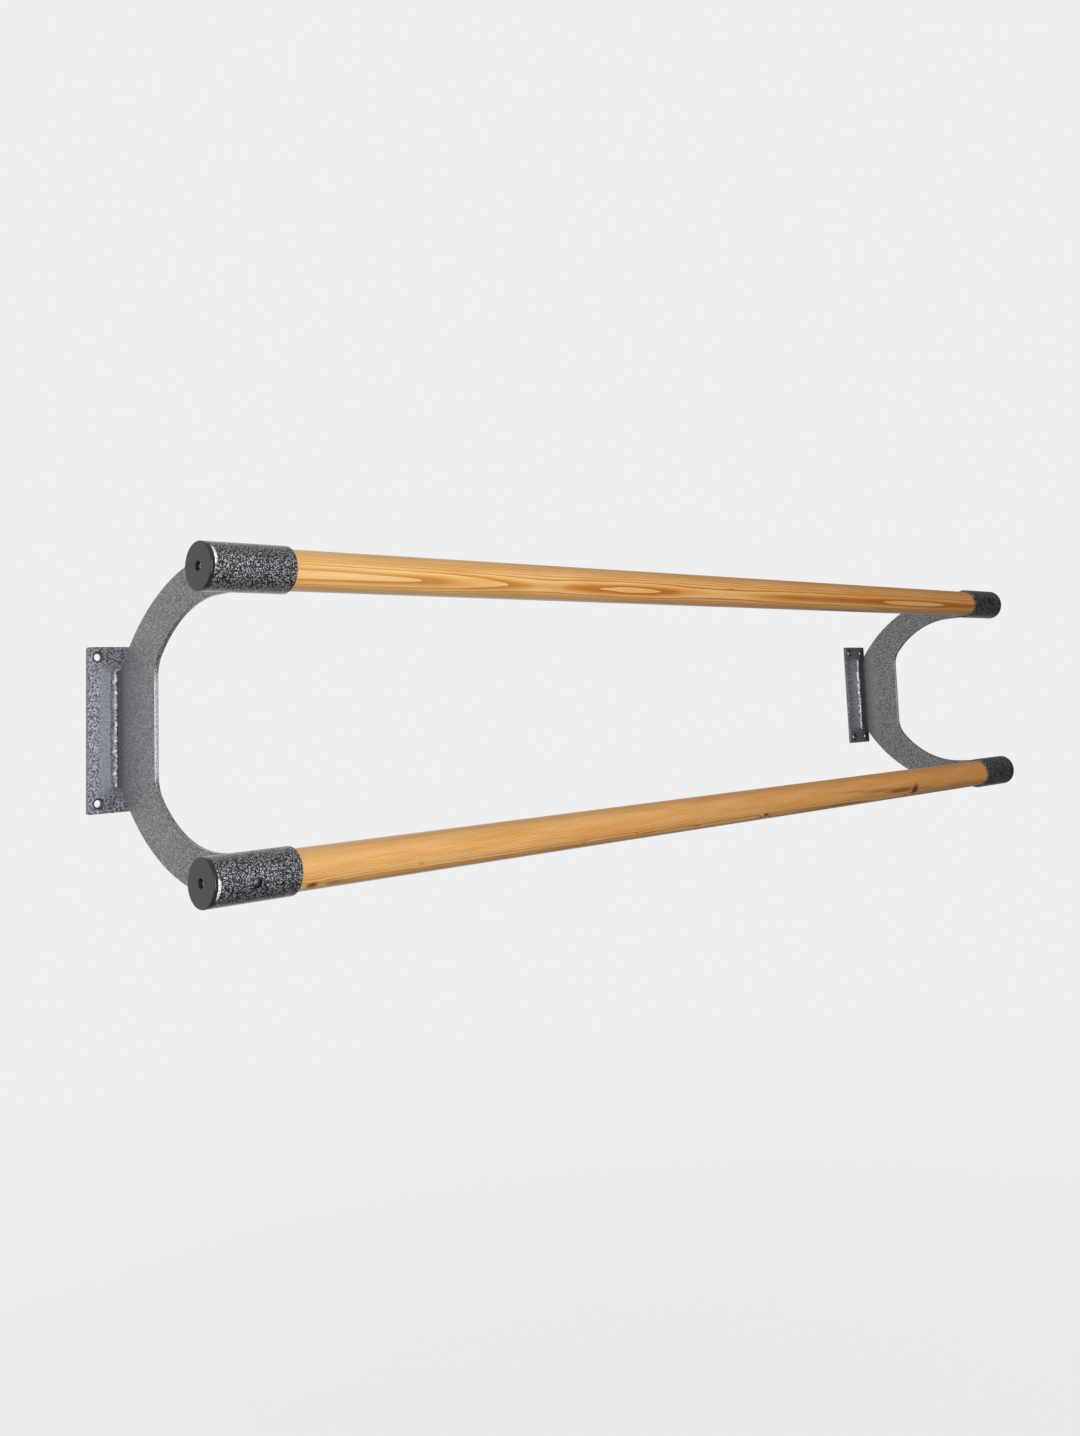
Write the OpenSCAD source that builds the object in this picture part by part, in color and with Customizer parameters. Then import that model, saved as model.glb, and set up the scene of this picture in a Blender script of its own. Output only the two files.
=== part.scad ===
// Double wall-mounted ballet barre. Two round wooden barres run one above the other between
// two welded steel brackets. Each bracket is a flat wall plate, a C-shaped plate that stands
// out from the wall, and two tube sleeves that hold the ends of the barres.
// The origin lies on the wall, midway between the brackets and between the barres. +X runs
// along the barres to the right as seen from the room, +Y points into the wall and +Z is up.
// The right bracket is the left bracket turned half round the Y axis.

/* [Barres] */
// Diameter of the wooden barres
barre_d = 42; // [36:0.5:48]
// Length of each barre
barre_l = 1500; // [900:10:2400]
// Distance between the axes of the upper and the lower barre
barre_spacing = 294; // [270:1:330]
// Distance from the wall to the axes of the barres
barre_reach = 269; // [250:1:290]
// Bevel round the ends of the barres
barre_bevel = 1.5; // [0.5:0.5:3]

/* [Sleeves] */
// Wall thickness of the steel sleeves
sleeve_wall = 2.9; // [2:0.1:4]
// Gap all round between a barre and the bore of its sleeve
sleeve_gap = 0.25; // [0.1:0.05:0.5]
// Length of each sleeve
sleeve_l = 88; // [76:1:130]
// Bevel round the outer rims of a sleeve
sleeve_bevel = 0.6; // [0.2:0.1:1]

/* [End caps] */
// Thickness of the round head that closes the sleeve
cap_head_t = 4; // [3:0.5:6]
// Bevel round the head
cap_bevel = 0.8; // [0.4:0.1:1.5]
// Length of the plug that enters the sleeve
cap_plug_l = 8; // [6:0.5:12]
// Gap all round between the plug and the bore of the sleeve
cap_gap = 0.1; // [0.05:0.05:0.3]
// Diameter of the recess for the head of the cap screw
cap_recess_d = 9.5; // [9:0.5:12]
// Thickness of the floor left under the recess
cap_floor_t = 6.5; // [4:0.5:8]

/* [Cap screws] */
// Diameter of the shank
cap_screw_d = 4.5; // [3.5:0.5:6]
// Length under the head
cap_screw_l = 36; // [20:1:50]
// Diameter of the head
cap_screw_head_d = 8.4; // [7:0.2:8.8]
// Height of the head
cap_screw_head_t = 2.8; // [2:0.1:3.4]
// Width of each slot of the cross recess
cap_screw_slot_w = 1.1; // [0.6:0.1:1.6]
// Length of each slot of the cross recess
cap_screw_slot_l = 4.8; // [3:0.2:6]
// Depth of the cross recess
cap_screw_slot_depth = 1.4; // [0.8:0.1:1.8]

/* [Locking screws] */
// Diameter of the shank
lock_screw_d = 5; // [4:0.5:6]
// Length under the head
lock_screw_l = 18; // [12:1:20]
// Diameter of the head
lock_head_d = 9.5; // [8:0.5:11]
// Height of the domed head
lock_head_t = 2.4; // [1.8:0.1:3.5]
// Height of the straight rim of the head
lock_rim_t = 0.9; // [0.5:0.1:1.2]
// Width across the corners of the hexagon socket
lock_socket_d = 3.5; // [2.5:0.1:4]
// Depth of the hexagon socket
lock_socket_depth = 1.4; // [1:0.1:2]
// Distance from the outer end of the sleeve
lock_inset = 39; // [25:1:44]
// Angle between the screw and the level, downwards on the left bracket
lock_angle = 10; // [0:1:40]

/* [Wall plates] */
// Width of a wall plate
wall_plate_w = 60; // [54:1:80]
// Height of a wall plate
wall_plate_h = 178; // [150:1:220]
// Thickness of a wall plate
wall_plate_t = 5; // [4:0.5:8]
// Radius of the corners
wall_plate_r = 2.5; // [1:0.5:6]
// Diameter of the screw holes
hole_d = 8; // [6:0.5:11]
// Width of the bevel round the front of each hole
hole_bevel = 1.2; // [0.5:0.1:2]
// Distance from the centres of the holes to the edges of the plate
hole_margin = 11; // [9:0.5:14]

/* [Curved plates] */
// Thickness of a curved plate
curved_t = 5; // [4:0.5:8]
// Distance from the outer end of the sleeves to the middle of the plate's thickness
curved_inset = 47; // [38:1:60]
// Depth of the plate between the wall plate and its straight inner edge
web_depth = 88; // [60:1:95]
// Radius of the two round inner edges
throat_r = 150; // [135:1:200]
// Distance from the barre axes back to the centres of the round inner edges
throat_back = 54; // [45:0.5:70]
// How far the inner edge laps past the side of a sleeve that faces the other one
throat_lap = 3.5; // [0.5:0.25:5]
// Radius that eases the straight inner edge into the round ones
web_ease_r = 40; // [10:1:60]
// Radius of the two round outer edges
outer_r = 244; // [200:1:400]
// Height at which the round outer edges would meet the wall plate if they ran on
arc_foot = 36; // [20:1:50]
// Half the height of the foot that is welded to the wall plate
foot_half = 63; // [40:1:75]
// Depth of the foot
foot_depth = 17; // [16:0.5:40]
// Angle on the sleeve at which the outer edge meets it
meet_angle = 58; // [35:1:65]

/* [Welds] */
// Leg of the long weld along the curved plate
plate_weld_leg = 9; // [4:0.5:10]
// Leg of the long weld along the wall plate
plate_weld_foot = 4; // [3:0.5:9]
// Length of the weld past each end of the foot
plate_weld_run = 3; // [1:0.5:6]
// Leg of the welds on the sleeves
sleeve_weld_leg = 4; // [3:0.5:6]
// Angle left bare at each end of a sleeve weld
sleeve_weld_stop = 6; // [2:1:15]

/* [Hidden] */
$fn = 96;

// Fine gap all round a screw shank in its hole
screw_gap = 0.05;
// How far the easing arc of the mouth crosses the edges that it eases, so that it cuts them cleanly
ease_bite = 0.3;
// How far a cut runs past the face that it opens
overrun = 1;

left = -1;
right = 1;
lower = -1;
upper = 1;
outer = -1;
inner = 1;

sleeve_bore_d = barre_d + 2 * sleeve_gap;
sleeve_d = sleeve_bore_d + 2 * sleeve_wall;
sleeve_r = sleeve_d / 2;
// Outer end of every sleeve, from the middle of the part
sleeve_end_x = barre_l / 2 + cap_plug_l;
curved_x = sleeve_end_x - curved_inset;
half_spacing = barre_spacing / 2;
// Depth from the face of an end cap to the seat of its screw
cap_recess_depth = cap_head_t + cap_plug_l - cap_floor_t;
// Depth that a cap screw reaches into the barre
cap_screw_bite = cap_screw_l - cap_floor_t;

// Height at which the inner edge runs level into the sleeve
throat_top = half_spacing - sleeve_r + throat_lap;
// Centre of the upper round inner edge; the lower one is its mirror image
throat_centre = [throat_back - barre_reach, throat_top - throat_r];
web_y = -wall_plate_t - web_depth;
// Centre of the arc that eases the straight inner edge into the upper round one
ease_inset = web_ease_r - ease_bite;
ease_across = web_y - ease_inset - throat_centre.x;
ease_up = sqrt(pow(throat_r - ease_inset, 2) - ease_across * ease_across);
ease_centre = throat_centre + [ease_across, ease_up];
ease_turn = atan2(ease_up, ease_across);
// The round outer edge is an arc from the wall plate's face to the sleeve
arc_start = [-wall_plate_t, arc_foot];
arc_end = [sleeve_r * cos(meet_angle) - barre_reach, half_spacing + sleeve_r * sin(meet_angle)];
arc_chord = arc_end - arc_start;
arc_half = norm(arc_chord) / 2;
arc_rise = sqrt(outer_r * outer_r - arc_half * arc_half);
arc_out = [arc_chord.y, -arc_chord.x] / norm(arc_chord);
arc_centre = (arc_start + arc_end) / 2 - arc_out * arc_rise;
// Angle below the level at which the inner edge runs into the sleeve
throat_angle = asin((sleeve_r - throat_lap) / sleeve_r);

// Places its children, drawn for the left bracket, at either end of the part
module bracket_frame(side) {
    rotate([0, side == right ? 180 : 0, 0])
        translate([-curved_x, 0, 0])
            children();
}

// Origin on a barre's axis at the outer end of its sleeve, +X towards the middle of the part
module sleeve_frame(side, level) {
    rotate([0, side == right ? 180 : 0, 0])
        translate([-sleeve_end_x, -barre_reach, -side * level * half_spacing])
            children();
}

// Origin on the surface of the locked sleeve of a bracket, +Z out along the locking screw
module lock_frame(level) {
    sleeve_frame(level, level)
        translate([lock_inset, 0, 0])
            rotate([90 + lock_angle, 0, 0])
                translate([0, 0, sleeve_r])
                    children();
}

// A cylinder along +X
module rod(l, d) {
    rotate([0, 90, 0])
        cylinder(h = l, d = d);
}

// A rod along +X with a bevel round each end, or a tube if it has a bore
module bevelled_rod(l, d, bevel, bore = 0) {
    r = d / 2;
    rotate([0, 90, 0])
        rotate_extrude()
            polygon([
                [bore / 2, 0], [r - bevel, 0], [r, bevel],
                [r, l - bevel], [r - bevel, l], [bore / 2, l]
            ]);
}

module wall_plate_outline() {
    inner_w = wall_plate_w - 2 * wall_plate_r;
    inner_h = wall_plate_h - 2 * wall_plate_r;
    square([wall_plate_w, inner_h], center = true);
    square([inner_w, wall_plate_h], center = true);
    for (x = [-1, 1], z = [-1, 1])
        translate([x * inner_w / 2, z * inner_h / 2])
            circle(r = wall_plate_r);
}

// Rectangular plate flat on the wall, with a bevelled screw hole near each corner
module wall_plate(side) {
    hole_x = wall_plate_w / 2 - hole_margin;
    hole_z = wall_plate_h / 2 - hole_margin;
    color("#7c7e86")
        bracket_frame(side)
            rotate([90, 0, 0])
                difference() {
                    linear_extrude(wall_plate_t)
                        wall_plate_outline();
                    for (x = [-hole_x, hole_x], z = [-hole_z, hole_z])
                        translate([x, z, 0]) {
                            translate([0, 0, -overrun])
                                cylinder(h = wall_plate_t + 2 * overrun, d = hole_d);
                            translate([0, 0, wall_plate_t - hole_bevel])
                                cylinder(h = hole_bevel + overrun, d1 = hole_d,
                                         d2 = hole_d + 2 * (hole_bevel + overrun));
                        }
                }
}

// What the easing arc leaves of the corner between the straight inner edge and the upper round one
module eased_corner() {
    side_l = web_ease_r + overrun;
    translate(ease_centre)
        difference() {
            polygon([
                [0, 0], [side_l, 0], [side_l, side_l * tan(ease_turn / 2)],
                side_l * [cos(ease_turn), sin(ease_turn)]
            ]);
            circle(r = web_ease_r, $fn = 360);
        }
}

// Mouth of the curved plate: two arcs, level edges to the sleeves and a straight edge at the web
module throat_cut() {
    difference() {
        intersection() {
            translate(throat_centre)
                circle(r = throat_r, $fn = 360);
            translate([throat_centre.x, -throat_centre.y])
                circle(r = throat_r, $fn = 360);
            translate([-barre_reach, -half_spacing])
                square([barre_reach + web_y, barre_spacing]);
        }
        eased_corner();
        mirror([0, 1])
            eased_corner();
    }
    translate([-barre_reach - overrun, -throat_top])
        square([throat_back + overrun, 2 * throat_top]);
}

// Outline of the curved plate: across is the distance from the wall, up is the height
module curved_outline() {
    tall = barre_spacing + sleeve_d;
    difference() {
        union() {
            intersection() {
                translate(arc_centre)
                    circle(r = outer_r, $fn = 360);
                translate([arc_centre.x, -arc_centre.y])
                    circle(r = outer_r, $fn = 360);
                translate([-barre_reach, -tall / 2])
                    square([barre_reach - wall_plate_t, tall]);
            }
            translate([-wall_plate_t - foot_depth, -foot_half])
                square([foot_depth, 2 * foot_half]);
        }
        throat_cut();
        for (z = [-half_spacing, half_spacing])
            translate([-barre_reach, z])
                circle(r = sleeve_r);
    }
}

// C-shaped plate that stands out from the wall plate and carries both sleeves
module curved_plate(side) {
    color("#84868a")
        bracket_frame(side)
            rotate([90, 0, 90])
                linear_extrude(curved_t, center = true)
                    curved_outline();
}

// Fillet weld round the foot of the curved plate, where it stands on the wall plate
module plate_weld(side) {
    half_l = foot_half + plate_weld_run;
    half_w = curved_t / 2;
    color("#8e9096")
        bracket_frame(side)
            difference() {
                translate([0, -wall_plate_t, -half_l])
                    linear_extrude(2 * half_l)
                        polygon([
                            [-half_w - plate_weld_foot, 0], [half_w + plate_weld_foot, 0],
                            [half_w, -plate_weld_leg], [-half_w, -plate_weld_leg]
                        ]);
                rotate([90, 0, 90])
                    linear_extrude(curved_t, center = true)
                        curved_outline();
            }
}

// Tube that holds the end of a barre; the locked one has a hole for its screw
module sleeve(side, level) {
    color("#5a5c61")
        difference() {
            sleeve_frame(side, level)
                bevelled_rod(sleeve_l, sleeve_d, sleeve_bevel, sleeve_bore_d);
            if (side == level)
                lock_frame(level)
                    translate([0, 0, -sleeve_r])
                        cylinder(h = sleeve_r + overrun, d = lock_screw_d + 2 * screw_gap);
        }
}

// Fillet weld on one face of the curved plate, round the part of the sleeve that it meets
module sleeve_weld(side, level, face) {
    from = sleeve_weld_stop - throat_angle;
    sweep = throat_angle + meet_angle - 2 * sleeve_weld_stop;
    color("#8e9096")
        sleeve_frame(side, level)
            translate([curved_inset, 0, 0])
                mirror([face == outer ? 1 : 0, 0, 0])
                    mirror([0, 0, side == level ? 1 : 0])
                        rotate([90, 0, 90])
                            rotate([0, 0, from])
                                rotate_extrude(angle = sweep)
                                    translate([sleeve_r, curved_t / 2])
                                        intersection() {
                                            circle(r = sleeve_weld_leg);
                                            square(sleeve_weld_leg);
                                        }
}

// Plug with a round head, bored for a screw whose head lies deep in a recess
module end_cap(side, level) {
    color("#3f4044")
        sleeve_frame(side, level)
            difference() {
                union() {
                    translate([-cap_head_t, 0, 0])
                        bevelled_rod(cap_head_t, sleeve_d, cap_bevel);
                    rod(cap_plug_l, sleeve_bore_d - 2 * cap_gap);
                }
                translate([-cap_head_t - overrun, 0, 0])
                    rod(cap_recess_depth + overrun, cap_recess_d);
                translate([-cap_head_t, 0, 0])
                    rod(cap_head_t + cap_plug_l + overrun, cap_screw_d + 2 * screw_gap);
            }
}

// Pan-head wood screw with a cross recess, through the cap into the end of the barre
module cap_screw(side, level) {
    color("#c9cacc")
        sleeve_frame(side, level)
            translate([cap_recess_depth - cap_head_t, 0, 0])
                difference() {
                    union() {
                        rod(cap_screw_l, cap_screw_d);
                        translate([-cap_screw_head_t, 0, 0])
                            rod(cap_screw_head_t, cap_screw_head_d);
                    }
                    for (turn = [0, 90])
                        rotate([turn, 0, 0])
                            translate([-cap_screw_head_t - overrun, -cap_screw_slot_w / 2,
                                       -cap_screw_slot_l / 2])
                                cube([cap_screw_slot_depth + overrun, cap_screw_slot_w,
                                      cap_screw_slot_l]);
                }
}

// Round wooden barre, with pilot holes for both cap screws and for its locking screw
module barre(level) {
    color("#d9a25f")
        difference() {
            translate([-barre_l / 2, -barre_reach, level * half_spacing])
                bevelled_rod(barre_l, barre_d, barre_bevel);
            for (side = [left, right])
                sleeve_frame(side, level)
                    rod(cap_plug_l + cap_screw_bite + screw_gap, cap_screw_d + 2 * screw_gap);
            lock_frame(level)
                translate([0, 0, -lock_screw_l - screw_gap])
                    cylinder(h = lock_screw_l + overrun, d = lock_screw_d + 2 * screw_gap);
        }
}

// Low button-head screw that stops a barre from turning in its sleeve
module locking_screw(level) {
    rim_r = lock_head_d / 2;
    dome_h = lock_head_t - lock_rim_t;
    dome_r = (rim_r * rim_r + dome_h * dome_h) / (2 * dome_h);
    color("#2b2c2f")
        lock_frame(level)
            difference() {
                union() {
                    translate([0, 0, -lock_screw_l])
                        cylinder(h = lock_screw_l, d = lock_screw_d);
                    intersection() {
                        cylinder(h = lock_head_t, d = lock_head_d);
                        translate([0, 0, lock_head_t - dome_r])
                            sphere(r = dome_r);
                    }
                }
                translate([0, 0, lock_head_t - lock_socket_depth])
                    cylinder(h = lock_socket_depth + overrun, d = lock_socket_d, $fn = 6);
            }
}

wall_plate(left);  // wall_plate_left
wall_plate(right);  // wall_plate_right
curved_plate(left);  // curved_plate_left
curved_plate(right);  // curved_plate_right
plate_weld(left);  // plate_weld_left
plate_weld(right);  // plate_weld_right
sleeve(left, upper);  // sleeve_upper_left
sleeve(left, lower);  // sleeve_lower_left
sleeve(right, upper);  // sleeve_upper_right
sleeve(right, lower);  // sleeve_lower_right
sleeve_weld(left, upper, outer);  // outer_weld_upper_left
sleeve_weld(left, upper, inner);  // inner_weld_upper_left
sleeve_weld(left, lower, outer);  // outer_weld_lower_left
sleeve_weld(left, lower, inner);  // inner_weld_lower_left
sleeve_weld(right, upper, outer);  // outer_weld_upper_right
sleeve_weld(right, upper, inner);  // inner_weld_upper_right
sleeve_weld(right, lower, outer);  // outer_weld_lower_right
sleeve_weld(right, lower, inner);  // inner_weld_lower_right
end_cap(left, upper);  // end_cap_upper_left
end_cap(left, lower);  // end_cap_lower_left
end_cap(right, upper);  // end_cap_upper_right
end_cap(right, lower);  // end_cap_lower_right
cap_screw(left, upper);  // cap_screw_upper_left
cap_screw(left, lower);  // cap_screw_lower_left
cap_screw(right, upper);  // cap_screw_upper_right
cap_screw(right, lower);  // cap_screw_lower_right
barre(upper);  // barre_upper
barre(lower);  // barre_lower
locking_screw(upper);  // locking_screw_upper
locking_screw(lower);  // locking_screw_lower
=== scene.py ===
"""Looks of a double ballet barre on two welded wall brackets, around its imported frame, in metres.

+X runs along the barres, +Y goes into the wall and +Z is up. Angles round a barre are counted
from the side that faces the room, upwards.
"""
import math

import bmesh
import bpy
import numpy as np
from mathutils import Matrix, Vector


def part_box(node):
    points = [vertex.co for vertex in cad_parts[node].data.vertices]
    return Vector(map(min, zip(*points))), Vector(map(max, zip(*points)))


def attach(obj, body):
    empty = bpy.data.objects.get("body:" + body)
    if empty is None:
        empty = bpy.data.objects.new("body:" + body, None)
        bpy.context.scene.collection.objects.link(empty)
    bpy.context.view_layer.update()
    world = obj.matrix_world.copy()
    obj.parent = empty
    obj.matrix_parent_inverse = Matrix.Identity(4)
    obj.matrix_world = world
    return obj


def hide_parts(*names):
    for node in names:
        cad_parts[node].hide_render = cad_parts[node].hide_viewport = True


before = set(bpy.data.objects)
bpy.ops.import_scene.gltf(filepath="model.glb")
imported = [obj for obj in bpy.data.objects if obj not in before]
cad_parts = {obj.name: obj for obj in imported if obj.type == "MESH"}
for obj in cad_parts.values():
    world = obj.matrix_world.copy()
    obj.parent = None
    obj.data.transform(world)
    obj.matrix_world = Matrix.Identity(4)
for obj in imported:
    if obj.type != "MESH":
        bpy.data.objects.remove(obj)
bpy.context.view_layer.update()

MM = 0.001
LEFT, RIGHT = -1, 1
LOWER, UPPER = -1, 1
SIDE_NAME = {LEFT: "left", RIGHT: "right"}
LEVEL_NAME = {LOWER: "lower", UPPER: "upper"}
ENDS = [(side, level) for side in (LEFT, RIGHT) for level in (UPPER, LOWER)]


def end_name(kind, side, level):
    """The name of a node at one end of a barre."""
    return f"{kind}_{LEVEL_NAME[level]}_{SIDE_NAME[side]}"


# Sizes of the frame
barre_low, barre_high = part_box("barre_upper")
sleeve_low, sleeve_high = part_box("sleeve_upper_left")
cap_low, cap_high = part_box("end_cap_upper_left")
screw_low, screw_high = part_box("cap_screw_upper_left")
plate_low, plate_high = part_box("curved_plate_left")
wall_low, wall_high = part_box("wall_plate_left")
weld_low, weld_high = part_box("plate_weld_left")

HALF_SPACING = (barre_low.z + barre_high.z) / 2
REACH = -(barre_low.y + barre_high.y) / 2
BARRE_R = (barre_high.z - barre_low.z) / 2
BARRE_HALF_L = barre_high.x
SLEEVE_R = (sleeve_high.z - sleeve_low.z) / 2
SLEEVE_WALL = 2.9 * MM
SLEEVE_BORE_R = SLEEVE_R - SLEEVE_WALL
SLEEVE_END_X = -sleeve_low.x
SLEEVE_L = sleeve_high.x - sleeve_low.x
CAP_FACE_X = -cap_low.x
CAP_PLUG_X = -cap_high.x
SCREW_TOP_X = -screw_low.x
SCREW_TIP_X = -screw_high.x
SCREW_HEAD_R = (screw_high.z - screw_low.z) / 2
CURVED_X = -(plate_low.x + plate_high.x) / 2
CURVED_T = plate_high.x - plate_low.x
WALL_PLATE_T = wall_high.y - wall_low.y
WELD_LEG = weld_high.y - weld_low.y
WELD_FOOT = (weld_high.x - weld_low.x - CURVED_T) / 2
WELD_HALF_L = weld_high.z

# Sizes that the frame's boxes do not give
CAP_PLUG_R = SLEEVE_BORE_R - 0.1 * MM
CAP_RECESS_R = 4.75 * MM
CAP_HOLE_R = 2.3 * MM
CAP_RECESS_DEPTH = 5.5 * MM
SCREW_SHANK_R = 2.25 * MM
SCREW_HEAD_T = 2.8 * MM
THROAT_LAP = 3.5 * MM
THROAT_R = 150 * MM
THROAT_TOP = HALF_SPACING - SLEEVE_R + THROAT_LAP
THROAT_CENTRE = np.array([-REACH + 54 * MM, THROAT_TOP - THROAT_R])
WEB_Y = -WALL_PLATE_T - 88 * MM
WEB_EASE_R, WEB_EASE_INSET = 40 * MM, 39.7 * MM
OUTER_R = 244 * MM
ARC_FOOT = 36 * MM
FOOT_HALF = 63 * MM
MEET_ANGLE = math.radians(58)
HOLE_R, HOLE_X, HOLE_Z = 4 * MM, 19 * MM, 78 * MM
SLEEVE_WELD_LEG = 4 * MM
SLEEVE_WELD_STOP = math.radians(6)


# Surfaces

# Points nearer than this are merged: in a grid of points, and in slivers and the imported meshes
MERGE_DIST, FINE_DIST = 0.002 * MM, 0.001 * MM
# Angles between faces, in degrees, from which an edge stays sharp in the shading
SHARP_DEG, SCREW_SHARP_DEG, BEAD_SHARP_DEG = 35, 30, 60


def set_out(points, wrap_u, wrap_v):
    """Vertices and quads of a grid of points; a wrapped direction closes on itself."""
    rows, columns = points.shape[:2]
    u = np.arange(rows if wrap_u else rows - 1)[:, None]
    v = np.arange(columns if wrap_v else columns - 1)[None, :]
    u_next, v_next = (u + 1) % rows, (v + 1) % columns
    quads = np.stack([u * columns + v, u_next * columns + v, u_next * columns + v_next,
                      u * columns + v_next], -1)
    return points.reshape(-1, 3), quads.reshape(-1, 4)


def make_piece(name, points, wrap_u, wrap_v, material, nodes, sharp_deg=SHARP_DEG):
    """A closed piece from one grid of points, with doubles merged and its faces turned outwards."""
    vertices, quads = set_out(points, wrap_u, wrap_v)
    mesh = bpy.data.meshes.new(name)
    mesh.from_pydata(vertices.tolist(), [], quads.tolist())
    work = bmesh.new()
    work.from_mesh(mesh)
    bmesh.ops.remove_doubles(work, verts=work.verts, dist=MERGE_DIST)
    bmesh.ops.dissolve_degenerate(work, edges=work.edges, dist=FINE_DIST)
    if work.calc_volume(signed=True) < 0:
        bmesh.ops.reverse_faces(work, faces=work.faces)
    work.to_mesh(mesh)
    work.free()
    finish_piece(name, mesh, material, nodes, sharp_deg)


def finish_piece(name, mesh, material, nodes, sharp_deg):
    """Gives a mesh its material, shading and body, in place of the nodes it stands for."""
    mesh.materials.clear()
    mesh.materials.append(material)
    mesh.shade_smooth()
    mesh.set_sharp_from_angle(angle=math.radians(sharp_deg))
    piece = bpy.data.objects.new(name, mesh)
    bpy.context.scene.collection.objects.link(piece)
    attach(piece, "root")
    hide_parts(*nodes)
    return piece


def rounded_outline(corners, radii):
    """A closed outline with right-angled corners, each rounded by an arc.

    With u and v the directions from a corner to its neighbours, its arc of radius r is
    corner + r (1 - sin t) u + r (1 - cos t) v for t from 0 to 90 degrees. One more point on each
    side, landing times r from the corner, keeps the flats flat in the shading.
    """
    arc_steps, landing = 7, 1.4
    corners = np.array(corners, float)
    radii = np.broadcast_to(np.array(radii, float), len(corners))[:, None, None]
    before = np.roll(corners, 1, 0) - corners
    after = np.roll(corners, -1, 0) - corners
    u = before / np.linalg.norm(before, axis=1, keepdims=True)
    v = after / np.linalg.norm(after, axis=1, keepdims=True)
    t = np.linspace(0, math.pi / 2, arc_steps)
    along_u = np.concatenate([[landing], 1 - np.sin(t), [0]])[None, :, None]
    along_v = np.concatenate([[0], 1 - np.cos(t), [landing]])[None, :, None]
    return (corners[:, None] + radii * (along_u * u[:, None] + along_v * v[:, None])).reshape(-1, 2)


def turned(profile, level, steps):
    """The profile (x, r) turned about a barre's axis: (x, axis y - r cos a, axis z + r sin a)."""
    a = np.linspace(0, 2 * math.pi, steps, endpoint=False)[None, :]
    x, r = profile[:, :1], profile[:, 1:]
    return np.stack([x + 0 * a, -REACH - r * np.cos(a), level * HALF_SPACING + r * np.sin(a)], -1)


def wandering(count, knots, spread, seed):
    """A slow random factor about 1 along a path: random knots joined by a cosine-eased line."""
    values = 1 + spread * np.random.default_rng(seed).uniform(-1, 1, knots + 1)
    s = np.linspace(0, knots, count)
    k = np.minimum(s.astype(int), knots - 1)
    ease = (1 - np.cos(math.pi * (s - k))) / 2
    return values[k] * (1 - ease) + values[k + 1] * ease


def bead(foot, out, up, width, height, length, seed):
    """A fillet weld bead carried along the corner between two plates.

    P(s, t) = foot(s) + width c(t) out(s) + height c(90 - t) up(s) for t from 0 to 90 degrees,
    where c(t) blends the round bead cos t with the hollow one 1 - sin t. It is closed through a
    corner set back into the metal. Both legs wander slowly, and ripples bent like crescents cross
    the bead: a factor 1 - depth (phase)^2 with the phase running -1 to 1 over each ripple and led
    by sin 2t. The pitch of the ripples wanders too.
    """
    ripple_pitch, ripple_depth, lead = 4.4 * MM, 0.16, 0.35
    pitch_wander, leg_wander, knot_pitch = 0.5, 0.12, 9 * MM
    arc_steps, set_back, hollow = 9, 0.4 * MM, 0.15
    count = len(foot)
    t = np.linspace(0, math.pi / 2, arc_steps)[None, :]
    s = np.linspace(0, length, count)[:, None]
    knots = max(3, int(length / knot_pitch))
    drift = pitch_wander * wandering(count, knots, 1, seed)[:, None]
    phase = s / ripple_pitch + lead * np.sin(2 * t) + drift
    ripple = 1 - ripple_depth * (2 * (phase % 1) - 1) ** 2
    w = (width * wandering(count, knots, leg_wander, seed + 1))[:, None] * ripple
    h = (height * wandering(count, knots, leg_wander, seed + 2))[:, None] * ripple
    outward = (1 - hollow) * np.cos(t) + hollow * (1 - np.sin(t))
    upward = (1 - hollow) * np.sin(t) + hollow * (1 - np.cos(t))
    arc = (foot[:, None] + (w * outward)[..., None] * out[:, None]
           + (h * upward)[..., None] * up[:, None])
    corner = foot - set_back * (out + up) * (width / width.max())[:, None]
    return np.concatenate([arc, corner[:, None]], 1)


# Colours and shader nodes

# Settings that many nodes share
EASED = {"interpolation_type": "SMOOTHSTEP"}
TIMES = {"operation": "MULTIPLY"}
TIMES_PLUS = {"operation": "MULTIPLY_ADD"}
LESS = {"operation": "SUBTRACT"}
UNSIGNED = {"operation": "ABSOLUTE"}
LARGER = {"operation": "MAXIMUM"}
LENGTH = {"operation": "LENGTH"}
BLEND = {"data_type": "RGBA"}
TINT = {"data_type": "RGBA", "blend_type": "MULTIPLY"}


def colour(code):
    """The linear colour of an sRGB hex code."""
    parts = np.array([int(code[k:k + 2], 16) for k in (1, 3, 5)]) / 255
    linear = np.where(parts <= 0.04045, parts / 12.92, ((parts + 0.055) / 1.055) ** 2.4)
    return (*linear.tolist(), 1.0)


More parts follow.
